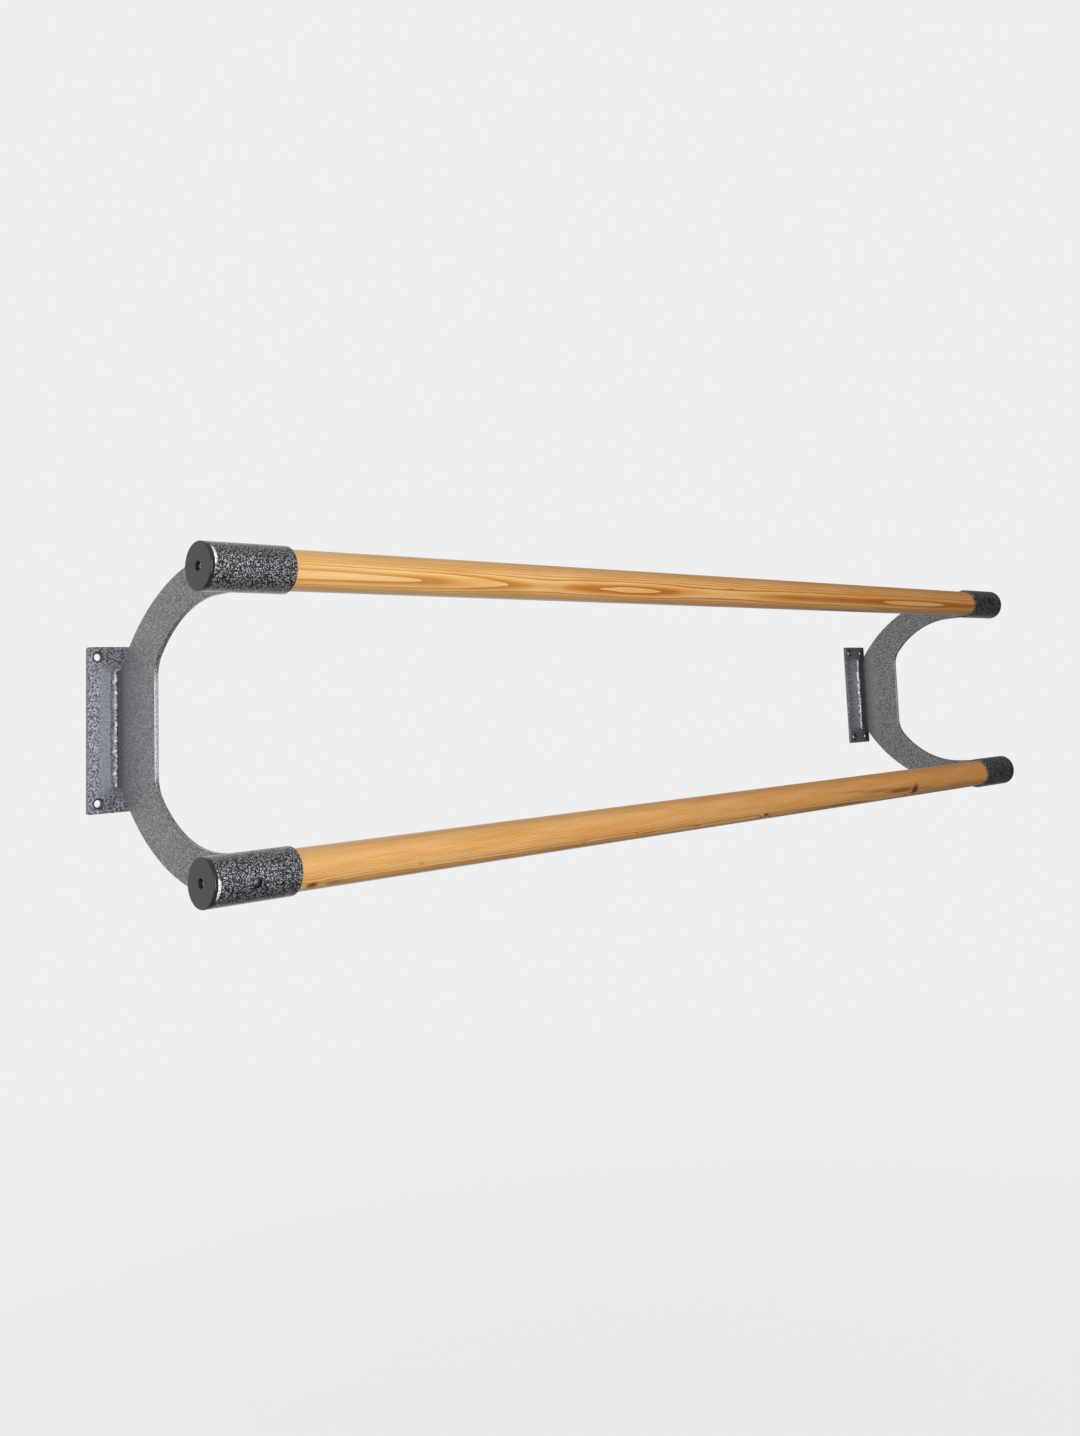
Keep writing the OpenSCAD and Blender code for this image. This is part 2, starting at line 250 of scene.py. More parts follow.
def put(tree, kind, settings=None, inputs=(), stops=(), curve=()):
    """Adds a shader node and returns it.

    settings are its properties. inputs are its sockets, by name or in their order, each a value,
    a socket, or a node that stands for its first output in use. stops are a ramp's (place,
    colour) pairs, and curve a curve's points. A ramp and a curve have two of these at first.
    """
    node = tree.nodes.new(kind)
    for key, value in (settings or {}).items():
        setattr(node, key, value)
    sockets = inputs.items() if isinstance(inputs, dict) else enumerate(inputs)
    for key, value in sockets:
        if isinstance(value, bpy.types.Node):
            value = next(socket for socket in value.outputs if socket.enabled)
        if isinstance(value, bpy.types.NodeSocket):
            tree.links.new(value, node.inputs[key])
        else:
            node.inputs[key].default_value = value
    for k, (place, shade) in enumerate(stops):
        stop = node.color_ramp.elements[k] if k < 2 else node.color_ramp.elements.new(place)
        stop.position = place
        stop.color = shade
    for k, point in enumerate(curve):
        line = node.mapping.curves[0]
        if k < 2:
            line.points[k].location = point
        else:
            line.points.new(*point)
    if curve:
        node.mapping.update()
    return node


def new_material(name):
    """An empty material and its node tree."""
    material = bpy.data.materials.new(name)
    material.use_nodes = True
    tree = material.node_tree
    tree.nodes.clear()
    return material, tree


def place_mm(tree):
    """The place on the object in millimetres."""
    place = put(tree, "ShaderNodeTexCoord")
    return put(tree, "ShaderNodeVectorMath", {"operation": "SCALE"},
               {0: place.outputs["Object"], "Scale": 1 / MM})


def away_from(tree, place, centre, half_sizes):
    """The distance from a centre, as a share of the half sizes along X, Y and Z."""
    away = put(tree, "ShaderNodeVectorMath", LESS, [place, centre])
    scaled = put(tree, "ShaderNodeVectorMath", TIMES, [away, [1 / half for half in half_sizes]])
    return put(tree, "ShaderNodeVectorMath", LENGTH, [scaled])


def round_place_mm(x, r, deg, level):
    """The place at x along a barre, r from its axis and deg degrees round it, all in mm."""
    a = math.radians(deg)
    return (x, -REACH / MM - r * math.cos(a), level * HALF_SPACING / MM + r * math.sin(a))


def hammered_paint(name, silver, vein, cell_mm, relief_mm, silver_share, metal_share=1.0,
                   painted_shade=None, calm=None, bright=None, bright_metal=0.1):
    """Silver hammer finish: a stoved paint whose aluminium flake gathers in rounded cells.

    The cells stand up like beaten metal and shine; the veins between them are dark and glossy.
    The painted shade it is given keeps a share of the colour at each place, calm gives how far its
    cells have run together there, and bright where the colour is painted near-white: painted
    highlights, and on the sleeve rims a painted glint on bare metal where the paint is gone.
    """
    calm_silver, bare_metal_and_highlight = 0.55, colour("#f4f4fa")
    material, tree = new_material(name)
    place = place_mm(tree)
    # Each place drifts by up to about a cell, so that the cells come out uneven
    drift = put(tree, "ShaderNodeTexNoise", {},
                {"Vector": place, "Scale": 0.45 / cell_mm, "Detail": 2.0, "Roughness": 0.6})
    centred = put(tree, "ShaderNodeVectorMath", LESS, [drift.outputs["Color"], (0.5, 0.5, 0.5)])
    wander = put(tree, "ShaderNodeVectorMath", TIMES_PLUS, [centred, (1.6 * cell_mm,) * 3, place])
    cells = put(tree, "ShaderNodeTexVoronoi", {"feature": "SMOOTH_F1"},
                {"Vector": wander, "Scale": 1 / cell_mm, "Smoothness": 0.35, "Randomness": 1.0})
    flake = put(tree, "ShaderNodeTexNoise", {},
                {"Vector": place, "Scale": 1.3 / cell_mm, "Detail": 3.0, "Roughness": 0.65})
    height = put(tree, "ShaderNodeMath", TIMES_PLUS, [cells, -0.75, flake])
    mask = put(tree, "ShaderNodeMapRange", EASED,
               [height, 0.2 - 0.3 * silver_share, 0.55 - 0.3 * silver_share])
    silvered, strength = mask, 1.0
    if calm:
        still = calm(tree, place)
        silvered = put(tree, "ShaderNodeMix", {}, {"Factor": still, "A": mask, "B": calm_silver})
        strength = put(tree, "ShaderNodeMath", LESS, [1.0, still])
    tint = put(tree, "ShaderNodeMix", BLEND,
               {"Factor": silvered, "A": colour(vein), "B": colour(silver)})
    # Painted shade: the colour darkened by a factor at each place
    if painted_shade:
        tint = put(tree, "ShaderNodeMix", TINT, {"Factor": 1.0, "A": tint, "B": painted_shade(tree, place)})
    metal = put(tree, "ShaderNodeMath", TIMES, [silvered, metal_share])
    # Painted highlights: the colour turned near-white; on the sleeve rims, partly bare metal where
    # the paint is gone
    if bright:
        wear_and_highlight = bright(tree, place)
        metal = put(tree, "ShaderNodeMix", {}, {"Factor": wear_and_highlight, "A": metal, "B": bright_metal})
        tint = put(tree, "ShaderNodeMix", BLEND, {"Factor": wear_and_highlight, "A": tint, "B": bare_metal_and_highlight})
    rough = put(tree, "ShaderNodeMapRange", {}, [mask, 0.0, 1.0, 0.25, 0.38])
    relief = put(tree, "ShaderNodeBump", {},
                 {"Height": height, "Distance": relief_mm * MM, "Strength": strength})
    surface = put(tree, "ShaderNodeBsdfPrincipled", {},
                  {"Base Color": tint, "Metallic": metal, "Roughness": rough, "IOR": 1.5,
                   "Coat Weight": 0.5, "Coat Roughness": 0.15, "Normal": relief})
    put(tree, "ShaderNodeOutputMaterial", {}, {"Surface": surface})
    return material


def wandering_height(tree, place, scale, spread_mm):
    """The height above the wall plate, in mm, with a random wander of up to half the spread."""
    parts = put(tree, "ShaderNodeSeparateXYZ", {}, [place])
    noise = put(tree, "ShaderNodeTexNoise", {}, {"Vector": place, "Scale": scale, "Detail": 2.0})
    height = put(tree, "ShaderNodeMath", TIMES_PLUS,
                 [parts.outputs["Y"], -1.0, -WALL_PLATE_T / MM - spread_mm / 2])
    return put(tree, "ShaderNodeMath", TIMES_PLUS, [noise, spread_mm, height])


def painted_shade_by_weld(tree, place):
    """Painted shade on a curved plate beside its long weld: darkest near the wall plate, lighter
    further out.
    """
    parts = put(tree, "ShaderNodeSeparateXYZ", {}, [place])
    height = wandering_height(tree, place, 0.22, 8.0)
    corner = put(tree, "ShaderNodeMapRange", EASED, [height, 25, 17, 1.0, 0.2])
    fade = put(tree, "ShaderNodeMapRange", EASED, [parts.outputs["Y"], -50, -22, 1.0, 0.45])
    return put(tree, "ShaderNodeMath", TIMES, [corner, fade])


def calm_near_wall(tree, place):
    """Heat of the long weld let the paint run smooth beside it on the curved plate."""
    parts = put(tree, "ShaderNodeSeparateXYZ", {}, [place])
    return put(tree, "ShaderNodeMapRange", EASED, [parts.outputs["Y"], -58, -38, 0.0, 0.75])


def painted_highlight_on_front_edge(tree, place):
    """A painted highlight along the straight front edge of a curved plate."""
    parts = put(tree, "ShaderNodeSeparateXYZ", {}, [place])
    front = put(tree, "ShaderNodeMapRange", EASED,
                [parts.outputs["Y"], WEB_Y / MM + 1.1, WEB_Y / MM + 0.5])
    height = put(tree, "ShaderNodeMath", UNSIGNED, [parts.outputs["Z"]])
    straight = put(tree, "ShaderNodeMapRange", EASED, [height, 62, 46, 0.0, 0.3])
    return put(tree, "ShaderNodeMath", TIMES, [front, straight])


def shade_on_bead(tree, place):
    """The bead's toe on the curved plate lies in shade, with an uneven edge."""
    height = wandering_height(tree, place, 0.22, 5.0)
    return put(tree, "ShaderNodeMapRange", EASED, [height, 8.0, 8.8, 1.0, 0.16])


def painted_highlight_on_crest(tree, place):
    """A painted highlight: an uneven line of near-white spots high on the bead."""
    height = wandering_height(tree, place, 0.25, 9.0)
    rise = put(tree, "ShaderNodeMapRange", EASED, [height, 5.0, 5.8])
    fall = put(tree, "ShaderNodeMapRange", EASED, [height, 8.6, 7.8])
    line = put(tree, "ShaderNodeMath", TIMES, [rise, fall])
    spotting = put(tree, "ShaderNodeTexNoise", {}, {"Vector": place, "Scale": 0.16, "Detail": 2.0})
    spotted = put(tree, "ShaderNodeMapRange", EASED, [spotting, 0.46, 0.56, 0.3, 1.0])
    return put(tree, "ShaderNodeMath", TIMES, [line, spotted])


def painted_shade_by_holes(tree, place):
    """Painted shade in a dark ring round each screw hole: by the distance to the nearest axis."""
    folded = put(tree, "ShaderNodeVectorMath", UNSIGNED, [place])
    for fold in ((CURVED_X / MM, 0.0, 0.0), (HOLE_X / MM, 0.0, HOLE_Z / MM)):
        moved = put(tree, "ShaderNodeVectorMath", LESS, [folded, fold])
        folded = put(tree, "ShaderNodeVectorMath", UNSIGNED, [moved])
    flat = put(tree, "ShaderNodeVectorMath", TIMES, [folded, (1.0, 0.0, 1.0)])
    gap = put(tree, "ShaderNodeVectorMath", LENGTH, [flat])
    return put(tree, "ShaderNodeMapRange", EASED,
               [gap, HOLE_R / MM + 1.4, HOLE_R / MM + 3.2, 0.12, 1.0])


def calm_by_weld(tree, place):
    """Heat of the weld let the paint run smooth beside it: a strip on either side of the plate."""
    parts = put(tree, "ShaderNodeSeparateXYZ", {}, [place])
    across = put(tree, "ShaderNodeMath", UNSIGNED, [parts.outputs["X"]])
    from_plate = put(tree, "ShaderNodeMath", LESS, [across, CURVED_X / MM])
    aside = put(tree, "ShaderNodeMath", UNSIGNED, [from_plate])
    height = put(tree, "ShaderNodeMath", UNSIGNED, [parts.outputs["Z"]])
    beside = put(tree, "ShaderNodeMapRange", EASED, [aside, 20, 14])
    along_weld = put(tree, "ShaderNodeMapRange", EASED, [height, 74, 64, 0.0, 0.85])
    return put(tree, "ShaderNodeMath", TIMES, [beside, along_weld])


def rubbed_rims_and_glints(tree, place):
    """A short stretch of each left sleeve's outer rim: bare metal where the paint is gone, with a
    painted glint on it.
    """
    half_sizes = (2.2, 11, 11)
    share = 0.0
    for level, deg in ((UPPER, 24), (LOWER, -13)):
        centre = round_place_mm(-SLEEVE_END_X / MM + 0.8, SLEEVE_R / MM, deg, level)
        gap = away_from(tree, place, centre, half_sizes)
        rubbed_and_glinting = put(tree, "ShaderNodeMapRange", EASED, [gap, 1.1, 0.6])
        share = put(tree, "ShaderNodeMath", LARGER, [share, rubbed_and_glinting])
    return share


def lacquered_pine(name, level, flat_side_deg, ring_rise, left_tone, marks):
    """Lacquered pine: pale spring wood, darker summer wood lines and a clear satin lacquer.

    The barre was turned from a straight board. Its rings are cylinders round a pith that lies
    behind flat_side, so there the lines open into long flames. A ring's place is the distance
    to the pith, in rings, plus the rise: the rings' slow climb and fall along the barre.
    """
    pith_mm, ring_mm, wave_rings = 80.0, 1.45, 0.3
    rise_span = max(rise for x_mm, rise in ring_rise)
    angle = math.radians(flat_side_deg)
    pith = (0.0, -REACH / MM + pith_mm * math.cos(angle),
            level * HALF_SPACING / MM - pith_mm * math.sin(angle))
    material, tree = new_material(name)
    place = place_mm(tree)
    parts = put(tree, "ShaderNodeSeparateXYZ", {}, [place])
    share_along = put(tree, "ShaderNodeMapRange", {},
                      [parts.outputs["X"], -BARRE_HALF_L / MM, BARRE_HALF_L / MM])
    lift = put(tree, "ShaderNodeFloatCurve", {}, {"Value": share_along},
               curve=[((x_mm * MM / BARRE_HALF_L + 1) / 2, rise / rise_span)
                      for x_mm, rise in ring_rise])
    # Slow waves of the grain, long in the barre's direction
    stretched = put(tree, "ShaderNodeVectorMath", TIMES, [place, (0.06, 1.0, 1.0)])
    waves = put(tree, "ShaderNodeTexNoise", {},
                {"Vector": stretched, "Scale": 0.09, "Detail": 2.0, "Roughness": 0.5})
    from_pith = put(tree, "ShaderNodeVectorMath", LESS, [place, pith])
    across = put(tree, "ShaderNodeVectorMath", TIMES, [from_pith, (0.0, 1.0, 1.0)])
    radius = put(tree, "ShaderNodeVectorMath", LENGTH, [across])
    rings = put(tree, "ShaderNodeMath", TIMES_PLUS,
                [radius, 1 / ring_mm, -wave_rings / 2 - (pith_mm + BARRE_R / MM) / ring_mm])
    lifted = put(tree, "ShaderNodeMath", TIMES_PLUS, [lift, rise_span, rings])
    ring_place = put(tree, "ShaderNodeMath", TIMES_PLUS, [waves, wave_rings, lifted])
    # A mark is dark at its core and pushes the rings aside round it
    dark = 0.0
    for x_mm, deg, long_mm, wide_mm, push, depth in marks:
        centre = round_place_mm(x_mm, BARRE_R / MM, deg, level)
        gap = away_from(tree, place, centre, (long_mm, wide_mm, wide_mm))
        core = put(tree, "ShaderNodeMapRange", EASED, [gap, 1.2, 0.3, 0.0, depth])
        swell = put(tree, "ShaderNodeMapRange", EASED, [gap, 3.2, 0.4, 0.0, push])
        ring_place = put(tree, "ShaderNodeMath", {"operation": "ADD"}, [ring_place, swell])
        dark = put(tree, "ShaderNodeMath", LARGER, [dark, core])
    phase = put(tree, "ShaderNodeMath", {"operation": "FRACT"}, [ring_place])
    season = put(tree, "ShaderNodeValToRGB", {}, [phase],
                 stops=[(0.0, colour("#e8c285")), (1.0, colour("#b87228")),
                        (0.35, colour("#e3b873")), (0.62, colour("#d9a157")),
                        (0.85, colour("#bd7a2f"))])
    # Towards the left end the summer wood is paler, so its lines are softer
    paleness = put(tree, "ShaderNodeMapRange", {}, [share_along, 0.0, 0.35, 0.45, 0.0])
    softened = put(tree, "ShaderNodeMix", BLEND,
                   {"Factor": paleness, "A": season, "B": colour("#dcaa63")})
    # Fibres are fine streaks along the grain, drawn coarser than real ones so that they show
    fibre_place = put(tree, "ShaderNodeVectorMath", TIMES, [place, (0.02, 1.0, 1.0)])
    fibres = put(tree, "ShaderNodeTexNoise", {},
                 {"Vector": fibre_place, "Scale": 0.9, "Detail": 4.0, "Roughness": 0.6})
    streak = put(tree, "ShaderNodeValToRGB", {}, [fibres],
                 stops=[(0.3, (0.86, 0.82, 0.74, 1)), (0.7, (1.04, 1.05, 1.07, 1))])
    grained = put(tree, "ShaderNodeMix", TINT, {"Factor": 1.0, "A": softened, "B": streak})
    # Bands of redder and yellower wood, a few millimetres wide and a hand long
    band_place = put(tree, "ShaderNodeVectorMath", TIMES, [place, (0.07, 1.0, 1.0)])
    bands = put(tree, "ShaderNodeTexNoise", {},
                {"Vector": band_place, "Scale": 0.13, "Detail": 3.0, "Roughness": 0.6})
    band_tint = put(tree, "ShaderNodeValToRGB", {}, [bands],
                    stops=[(0.35, (0.95, 0.83, 0.66, 1)), (0.62, (1.03, 1.05, 1.1, 1))])
    banded = put(tree, "ShaderNodeMix", TINT, {"Factor": 1.0, "A": grained, "B": band_tint})
    # Redder and a little darker towards the right end: partly the wood's own colour, partly painted
    # falloff of the lamp's light along the barre
    tint_and_painted_falloff = put(tree, "ShaderNodeMix", BLEND,
                   {"Factor": share_along, "A": (*left_tone, 1), "B": (1.08, 0.92, 0.84, 1)})
    toned = put(tree, "ShaderNodeMix", TINT, {"Factor": 1.0, "A": banded, "B": tint_and_painted_falloff})
    tint = put(tree, "ShaderNodeMix", BLEND, {"Factor": dark, "A": toned, "B": colour("#6e2e04")})
    relief = put(tree, "ShaderNodeBump", {},
                 {"Height": fibres, "Distance": 0.04 * MM, "Strength": 0.6})
    surface = put(tree, "ShaderNodeBsdfPrincipled", {},
                  {"Base Color": tint, "Roughness": 0.5, "IOR": 1.5, "Coat Weight": 0.8,
                   "Coat Roughness": 0.28, "Coat IOR": 1.5, "Normal": relief})
    put(tree, "ShaderNodeOutputMaterial", {}, {"Surface": surface})
    return material


def moulded_plastic(name, shade):
    """Dark polyethylene, moulded against a sparked mould: matt with a fine even grain."""
    material, tree = new_material(name)
    grain = put(tree, "ShaderNodeTexNoise", {},
                {"Vector": place_mm(tree), "Scale": 1.6, "Detail": 3.0, "Roughness": 0.6})
    relief = put(tree, "ShaderNodeBump", {},
                 {"Height": grain, "Distance": 0.05 * MM, "Strength": 1.0})
    surface = put(tree, "ShaderNodeBsdfPrincipled", {},
                  {"Base Color": colour(shade), "Roughness": 0.2, "IOR": 1.5, "Normal": relief})
    put(tree, "ShaderNodeOutputMaterial", {}, {"Surface": surface})
    return material


def plated_steel(name, shade, roughness):
    """Plated or blackened steel screw: a thin metallic film, a little uneven."""
    material, tree = new_material(name)
    film = put(tree, "ShaderNodeTexNoise", {},
               {"Vector": place_mm(tree), "Scale": 1.1, "Detail": 3.0, "Roughness": 0.6})
    rough = put(tree, "ShaderNodeMapRange", {},
                [film, 0.0, 1.0, roughness - 0.1, roughness + 0.12])
    surface = put(tree, "ShaderNodeBsdfPrincipled", {},
                  {"Base Color": colour(shade), "Metallic": 1.0, "Roughness": rough})
    put(tree, "ShaderNodeOutputMaterial", {}, {"Surface": surface})
    return material


# Hammer finishes: the colours of cells and veins, the cells' size and relief in mm, how much is
# silver, and how much of that mirrors
sleeve_paint = hammered_paint("hammered_paint_dark", "#c6c7cf", "#0c0c0e", 1.8, 0.8, 0.42,
                              bright=rubbed_rims_and_glints, bright_metal=0.6)
plate_paint = hammered_paint("hammered_paint_silver", "#aeacb1", "#444348", 1.6, 0.16, 0.7, 0.6,
                             painted_shade=painted_shade_by_weld, calm=calm_near_wall, bright=painted_highlight_on_front_edge)
wall_paint = hammered_paint("hammered_paint_blue_grey", "#a5a8b4", "#3e404a", 2.0, 0.2, 0.7, 0.4,
                            painted_shade=painted_shade_by_holes, calm=calm_by_weld)
bead_paint = hammered_paint("hammered_paint_on_long_weld", "#a9adbb", "#5c5f69", 2.0, 0.1, 0.9, 0.3,
                            painted_shade=shade_on_bead, bright=painted_highlight_on_crest)
weld_paint = hammered_paint("hammered_paint_on_short_weld", "#b4b6bd", "#5a5b60", 1.6, 0.05, 0.9)
cap_plastic = moulded_plastic("moulded_polyethylene", "#26262a")
zinc = plated_steel("bright_zinc_plate", "#c4c7cb", 0.3)
black_oxide = plated_steel("black_oxide", "#4a4b50", 0.42)

# How far the rings rise along each barre: place along in mm, and rise in rings. A flame's tip lies
# where the rise passes a whole number.
UPPER_RING_RISE = [
    (-750, 2.4), (750, 0.8), (-670, 2.27), (-514, 2.0), (-480, 1.8), (-455, 1.6), (-398, 1.0),
    (-370, 0.8), (-325, 0.58), (-300, 0.75), (-260, 0.93), (-232, 1.0), (-185, 1.14),
    (-138, 1.0), (-110, 0.85), (-88, 0.62), (0, 0.4), (75, 0.62), (150, 0.82), (350, 0.95),
    (373, 1.0), (475, 1.15), (577, 1.0), (620, 0.92),
]
LOWER_RING_RISE = [(-750, 1.3), (750, 2.4), (-300, 1.6), (0, 1.2), (300, 1.9)]

# Knots and resin streaks: place along in mm, angle in degrees, half length and half width in mm,
# push on the rings, and depth of colour
UPPER_MARKS = [(4, 9, 3.0, 1.4, 0.3, 0.0)]
LOWER_MARKS = [
    (-655, -46, 8, 5, 0.8, 0.9), (-632, -44, 16, 4, 0.3, 0.35), (-527, -27, 5, 2.5, 0.4, 0.35),
    (-345, -39, 60, 1.2, 0.2, 0.35), (-290, -42, 6, 1.8, 0.3, 0.5), (-200, -34, 5, 1.6, 0.3, 0.4),
    (-84, -41, 5, 1.8, 0.3, 0.5), (60, -43, 7, 4.5, 0.9, 0.95), (260, 2, 48, 2.0, 0.2, 0.25),
    (335, -9, 50, 3.2, 0.2, 0.35), (396, -20, 48, 5.0, 0.2, 0.7), (440, -27, 11, 11, 1.3, 1.0),
    (470, -24, 30, 2.0, 0.2, 0.45), (560, -35, 80, 1.6, 0.2, 0.3),
]
upper_pine = lacquered_pine("lacquered_pine_upper", UPPER, -17.5, UPPER_RING_RISE,
                            (0.94, 1.0, 1.12), UPPER_MARKS)
lower_pine = lacquered_pine("lacquered_pine_lower", LOWER, 130.0, LOWER_RING_RISE,
                            (0.87, 0.89, 0.98), LOWER_MARKS)


# Barres

# Faces round a turned piece
TURN_STEPS = 128


def make_barre(level, material):
    """A round rod with softened ends, turned from an open profile that ends on its axis."""
    half, r, edge_r = BARRE_HALF_L, BARRE_R, 1.5 * MM
    corners = [(-half, 0), (-half, r), (half, r), (half, 0)]
    profile = rounded_outline(corners, [0, edge_r, edge_r, 0])
    name = "barre_" + LEVEL_NAME[level]
    make_piece("wooden_" + name, turned(profile, level, TURN_STEPS), False, True, material,
               [name])


make_barre(UPPER, upper_pine)
make_barre(LOWER, lower_pine)


# Sleeves, caps and screws

def make_sleeve(side, level):
    """A tube with softened rims, turned from a closed profile."""
    bore_edge_r, rim_edge_r = 0.3 * MM, 0.9 * MM
    outer_x, inner_x = side * SLEEVE_END_X, side * (SLEEVE_END_X - SLEEVE_L)
    corners = [(outer_x, SLEEVE_BORE_R), (outer_x, SLEEVE_R), (inner_x, SLEEVE_R),
               (inner_x, SLEEVE_BORE_R)]
    profile = rounded_outline(corners, [bore_edge_r, rim_edge_r, rim_edge_r, bore_edge_r])
    name = end_name("sleeve", side, level)
    make_piece("painted_" + name, turned(profile, level, TURN_STEPS), True, True, sleeve_paint,
               [name])


def make_cap(side, level):
    """A moulded plug: round head, recess and screw hole, turned from a closed profile."""
    face_x, plug_x = side * CAP_FACE_X, side * CAP_PLUG_X
    seat_x = side * (CAP_FACE_X - CAP_RECESS_DEPTH)
    shoulder_x = side * SLEEVE_END_X
    corners = [
        (face_x, CAP_RECESS_R), (face_x, SLEEVE_R), (shoulder_x, SLEEVE_R),
        (shoulder_x, CAP_PLUG_R), (plug_x, CAP_PLUG_R), (plug_x, CAP_HOLE_R),
        (seat_x, CAP_HOLE_R), (seat_x, CAP_RECESS_R),
    ]
    # One radius for each corner, in the same order
    radii = np.array([0.4, 1.1, 0.3, 0.2, 0.6, 0.2, 0.2, 0.3]) * MM
    points = turned(rounded_outline(corners, radii), level, TURN_STEPS)
    name = end_name("end_cap", side, level)
    make_piece("moulded_" + name, points, True, True, cap_plastic, [name])


def make_cap_screw(side, level):
    """A pan-head screw with a cross recess, turned about its axis.

    The recess sinks the head's top by depth times two ramps: one falls off across the nearer
    arm of the cross, the other along it.
    """
    arm_half_w, arm_half_l, depth, edge = 0.75 * MM, 2.5 * MM, 1.5 * MM, 0.35 * MM
    dome, tip_l, dome_steps, turn_steps = 0.9 * MM, 5 * MM, 15, 96
    top_x, under_x = SCREW_TOP_X, SCREW_TOP_X - SCREW_HEAD_T
    turn = np.linspace(0, math.pi / 2, dome_steps)
    dome_points = np.stack([top_x - dome * (1 - np.cos(turn)), SCREW_HEAD_R * np.sin(turn)], 1)
    rest = [(under_x, SCREW_HEAD_R), (under_x, SCREW_SHANK_R),
            (SCREW_TIP_X + tip_l, SCREW_SHANK_R), (SCREW_TIP_X, 0)]
    profile = np.concatenate([dome_points, rest])
    profile[:, 0] *= side
    points = turned(profile, level, turn_steps)
    y = points[..., 1] + REACH
    z = points[..., 2] - level * HALF_SPACING
    near, far = np.minimum(abs(y), abs(z)), np.maximum(abs(y), abs(z))
    sink = np.clip((arm_half_w - near) / edge, 0, 1) * np.clip((arm_half_l - far) / edge, 0, 1)
    sink[dome_steps:] = 0
    points[..., 0] -= side * depth * sink
    name = end_name("cap_screw", side, level)
    make_piece("zinc_" + name, points, False, True, zinc, [name],
               SCREW_SHARP_DEG)


for side, level in ENDS:
    make_sleeve(side, level)
    make_cap(side, level)
    make_cap_screw(side, level)

for level in (UPPER, LOWER):
    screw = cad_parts["locking_screw_" + LEVEL_NAME[level]]
    screw.data.materials.clear()
    screw.data.materials.append(black_oxide)


# Curved plates

# The shares of a half edge at which its lines and arcs meet, from the sleeve to mid-height, and
# the steps between them
EDGE_BREAKS = [0, 0.2, 0.66, 0.78, 0.84, 1]
EDGE_STEPS = [18, 44, 18, 6, 8]


def along(u, k):
    """How far along the k-th stretch of a half edge u is, from 0 to 1."""
    return np.clip((u - EDGE_BREAKS[k]) / (EDGE_BREAKS[k + 1] - EDGE_BREAKS[k]), 0, 1)


def throat_edge(u):
    """Half of the inner edge, from the sleeve to mid-height: a level line, two arcs, a plumb line.

    Each arc is centre + r (cos a, sin a). On the wide one a falls from 90 degrees to where the
    tight one crosses it. Both angles there come from the cosine rule, in the triangle of the two
    radii and the distance between the centres.
    """
    tip_y = -REACH + math.sqrt(SLEEVE_R ** 2 - (SLEEVE_R - THROAT_LAP) ** 2)
    apart = THROAT_R - WEB_EASE_INSET
    across = WEB_Y - WEB_EASE_INSET - THROAT_CENTRE[0]
    turn = math.acos(across / apart)
    ease_centre = THROAT_CENTRE + apart * np.array([math.cos(turn), math.sin(turn)])
    wide_end = turn - math.acos((THROAT_R ** 2 + apart ** 2 - WEB_EASE_R ** 2)
                                / (2 * THROAT_R * apart))
    tight_start = turn - math.acos((THROAT_R ** 2 - apart ** 2 - WEB_EASE_R ** 2)
                                   / (2 * WEB_EASE_R * apart))
    tight_end = math.acos(WEB_EASE_INSET / WEB_EASE_R)
    wide = math.pi / 2 + (wide_end - math.pi / 2) * along(u, 1)
    tight = tight_start + (tight_end - tight_start) * along(u, 2)
    on_ease = u > EDGE_BREAKS[2]
    y = np.where(on_ease, ease_centre[0] + WEB_EASE_R * np.cos(tight),
                 THROAT_CENTRE[0] + THROAT_R * np.cos(wide))
    z = np.where(on_ease, ease_centre[1] + WEB_EASE_R * np.sin(tight),
                 THROAT_CENTRE[1] + THROAT_R * np.sin(wide))
    y += (along(u, 0) - 1) * (THROAT_CENTRE[0] - tip_y)
    z *= np.minimum((1 - u) / (1 - EDGE_BREAKS[3]), 1)
    return np.stack([y, z], -1)


def outer_edge(u):
    """Half of the outer edge, from the sleeve to mid-height: an arc, then the foot's end and back.

    The arc is centre + OUTER_R (cos a, sin a). Its centre lies on the chord's perpendicular
    bisector, sqrt(OUTER_R^2 - half^2) from it, with half the half chord.
    """
    start = np.array([-REACH + SLEEVE_R * math.cos(MEET_ANGLE),
                      HALF_SPACING + SLEEVE_R * math.sin(MEET_ANGLE)])
    end = np.array([-WALL_PLATE_T, ARC_FOOT])
    chord = end - start
    half = np.linalg.norm(chord) / 2
    inward = np.array([chord[1], -chord[0]]) / (2 * half)
    centre = (start + end) / 2 + inward * math.sqrt(OUTER_R ** 2 - half ** 2)
    from_a = math.atan2(*(start - centre)[::-1])
    to_a = math.asin((FOOT_HALF - centre[1]) / OUTER_R)
    a = from_a + (to_a - from_a) * np.clip(u / EDGE_BREAKS[3], 0, 1)
    y = centre[0] + OUTER_R * np.cos(a)
    y += (-WALL_PLATE_T - y) * along(u, 3)
    z = (centre[1] + OUTER_R * np.sin(a)) * (1 - along(u, 4))
    return np.stack([y, z], -1)


